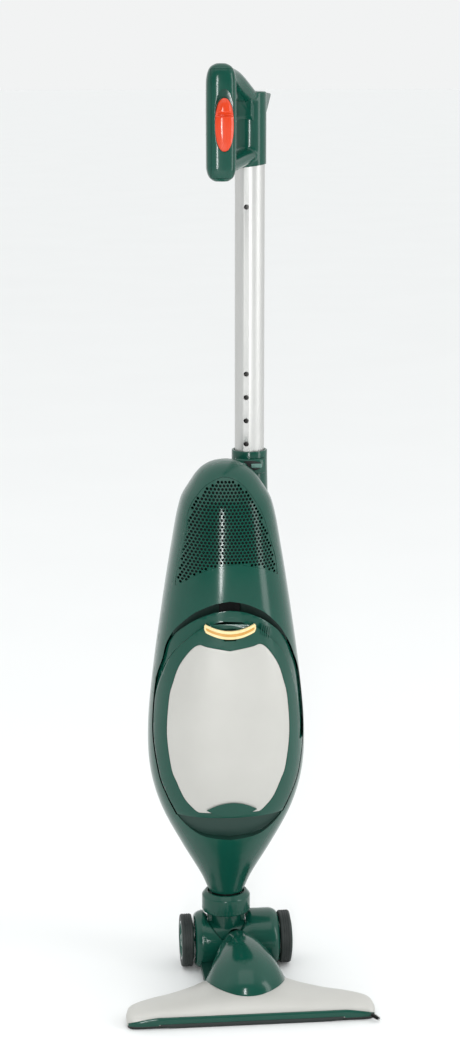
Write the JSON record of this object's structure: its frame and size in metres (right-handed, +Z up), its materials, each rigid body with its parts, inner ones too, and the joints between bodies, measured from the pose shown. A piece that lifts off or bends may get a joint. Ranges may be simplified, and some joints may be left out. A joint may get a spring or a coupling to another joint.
{
  "type": "upright vacuum cleaner",
  "caption": "Slim upright bag vacuum with a wing-shaped floor nozzle on two wheels, egg-shaped body, telescopic tube and loop grip with a slide switch.",
  "frame": {"origin": "on the flat sole of the floor nozzle, in the plane of the floor, on the nozzle's centre line", "axes": "+Z up the body and tube, -Y towards the front of the nozzle, +X to the right seen from the front"},
  "size_m": [0.2986, 0.2795, 1.091],
  "materials": {
    "green_abs": "high-gloss injection moulded",
    "dark_green_abs": "fine moulded texture",
    "silver_plastic": "silver-painted, satin",
    "tube_aluminium": "satin anodised",
    "orange_abs": "glossy moulded",
    "cream_abs": "satin moulded",
    "black_plastic": "moulded, matte",
    "rubber": "moulded rubber",
    "steel": "zinc-plated",
    "paper": "filter paper",
    "foam": "open-cell foam",
    "windings": "laminated core and copper windings",
    "circuit_board": "solder-masked board",
    "felt": "directional lint pile"
  },
  "bodies": {
    "nozzle": {"nozzle_base": "steel", "nozzle_cover": "silver_plastic", "nozzle_bumper": "green_abs", "front_lip": "rubber", "corner_tuft": "rubber", "rear_bristles": "black_plastic", "thread_lifter_left": "felt", "thread_lifter_right": "felt", "nozzle_hood": "green_abs", "cheek_left": "green_abs", "cheek_right": "green_abs", "wheel_axle": "steel", "carriage_yoke": "dark_green_abs"},
    "wheel_left": {"wheel_tyre_left": "rubber", "wheel_hub_left": "green_abs"},
    "wheel_right": {"wheel_tyre_right": "rubber", "wheel_hub_right": "green_abs"},
    "knuckle": {"knuckle_elbow": "green_abs", "swivel_collar": "green_abs"},
    "main_body": {"rear_housing": "green_abs", "front_frame": "dark_green_abs", "door_hinge_pin": "steel", "dome_cover": "green_abs", "exhaust_grille": "green_abs", "exhaust_filter": "foam", "bag_chamber": "dark_green_abs", "suction_duct": "black_plastic", "bag_card": "paper", "dust_bag": "paper", "motor_filter": "foam", "control_board": "circuit_board", "inlet_seal": "rubber", "fan_housing": "black_plastic", "motor_bracket": "steel", "motor_stator": "windings", "housing_screw_lower_left": "steel", "housing_screw_upper_left": "steel", "housing_screw_lower_right": "steel", "housing_screw_upper_right": "steel"},
    "rotor": {"rotor_shaft": "steel", "armature": "windings", "impeller": "black_plastic"},
    "door": {"bag_door": "green_abs", "door_insert": "silver_plastic", "hinge_cap": "green_abs", "door_seal": "rubber", "latch_spring": "steel"},
    "latch": {"door_latch": "cream_abs"},
    "tube": {"handle_tube": "tube_aluminium", "tube_end_plug": "black_plastic", "grip_body": "green_abs", "grip_cover": "green_abs", "switch_module": "black_plastic", "cord_inlet": "rubber"},
    "slider": {"power_slider": "orange_abs"},
    "catch": {"catch_knob": "green_abs"},
    "lock_pin": {"catch_pin": "steel"},
    "hook": {"cord_hook": "dark_green_abs"}
  },
  "joints": [
    {"name": "wheel_left_spin", "type": "hinge", "parent": "nozzle", "child": "wheel_left", "pos_m": [-0.06, 0.128, 0.032], "axis": [1, 0, 0], "continuous": true},
    {"name": "wheel_right_spin", "type": "hinge", "parent": "nozzle", "child": "wheel_right", "pos_m": [0.06, 0.128, 0.032], "axis": [1, 0, 0], "continuous": true},
    {"name": "knuckle_tilt", "type": "hinge", "parent": "nozzle", "child": "knuckle", "pos_m": [-0.012, 0.128, 0.032], "axis": [-1, 0, 0], "range_deg": [0, 75]},
    {"name": "body_swivel", "type": "hinge", "parent": "knuckle", "child": "main_body", "pos_m": [-0.012, 0.128, 0.09], "axis": [0, 0, 1], "range_deg": [-90, 90]},
    {"name": "rotor_spin", "type": "hinge", "parent": "main_body", "child": "rotor", "pos_m": [-0.014, 0.112, 0.5], "axis": [0, 0, 1], "continuous": true},
    {"name": "door_open", "type": "hinge", "parent": "main_body", "child": "door", "pos_m": [-0.012, 0.08, 0.218], "axis": [1, 0, 0], "range_deg": [0, 80]},
    {"name": "latch_slide", "type": "slide", "parent": "door", "child": "latch", "axis": [0, 0, -1], "range_m": [0, 0.006], "stiffness_N_per_m": 500, "springref_m": -0.003, "deforming": ["latch_spring"]},
    {"name": "tube_slide", "type": "slide", "parent": "main_body", "child": "tube", "axis": [0, 0, 1], "range_m": [-0.308, 0]},
    {"name": "power_slide", "type": "slide", "parent": "tube", "child": "slider", "axis": [0, 0, 1], "range_m": [0, 0.009]},
    {"name": "catch_slide", "type": "slide", "parent": "main_body", "child": "catch", "axis": [-1, 0, 0], "range_m": [0, 0.008]},
    {"name": "lock_pin_slide", "type": "slide", "parent": "main_body", "child": "lock_pin", "axis": [0, 1, 0], "range_m": [0, 0.0025]},
    {"name": "cord_hook_turn", "type": "hinge", "parent": "main_body", "child": "hook", "pos_m": [-0.032, 0.2, 0.33], "axis": [0, 1, 0], "range_deg": [0, 180]}
  ],
  "couplings": [
    {"joint": "lock_pin_slide", "follows": "catch_slide", "ratio": 0.3125}
  ]
}
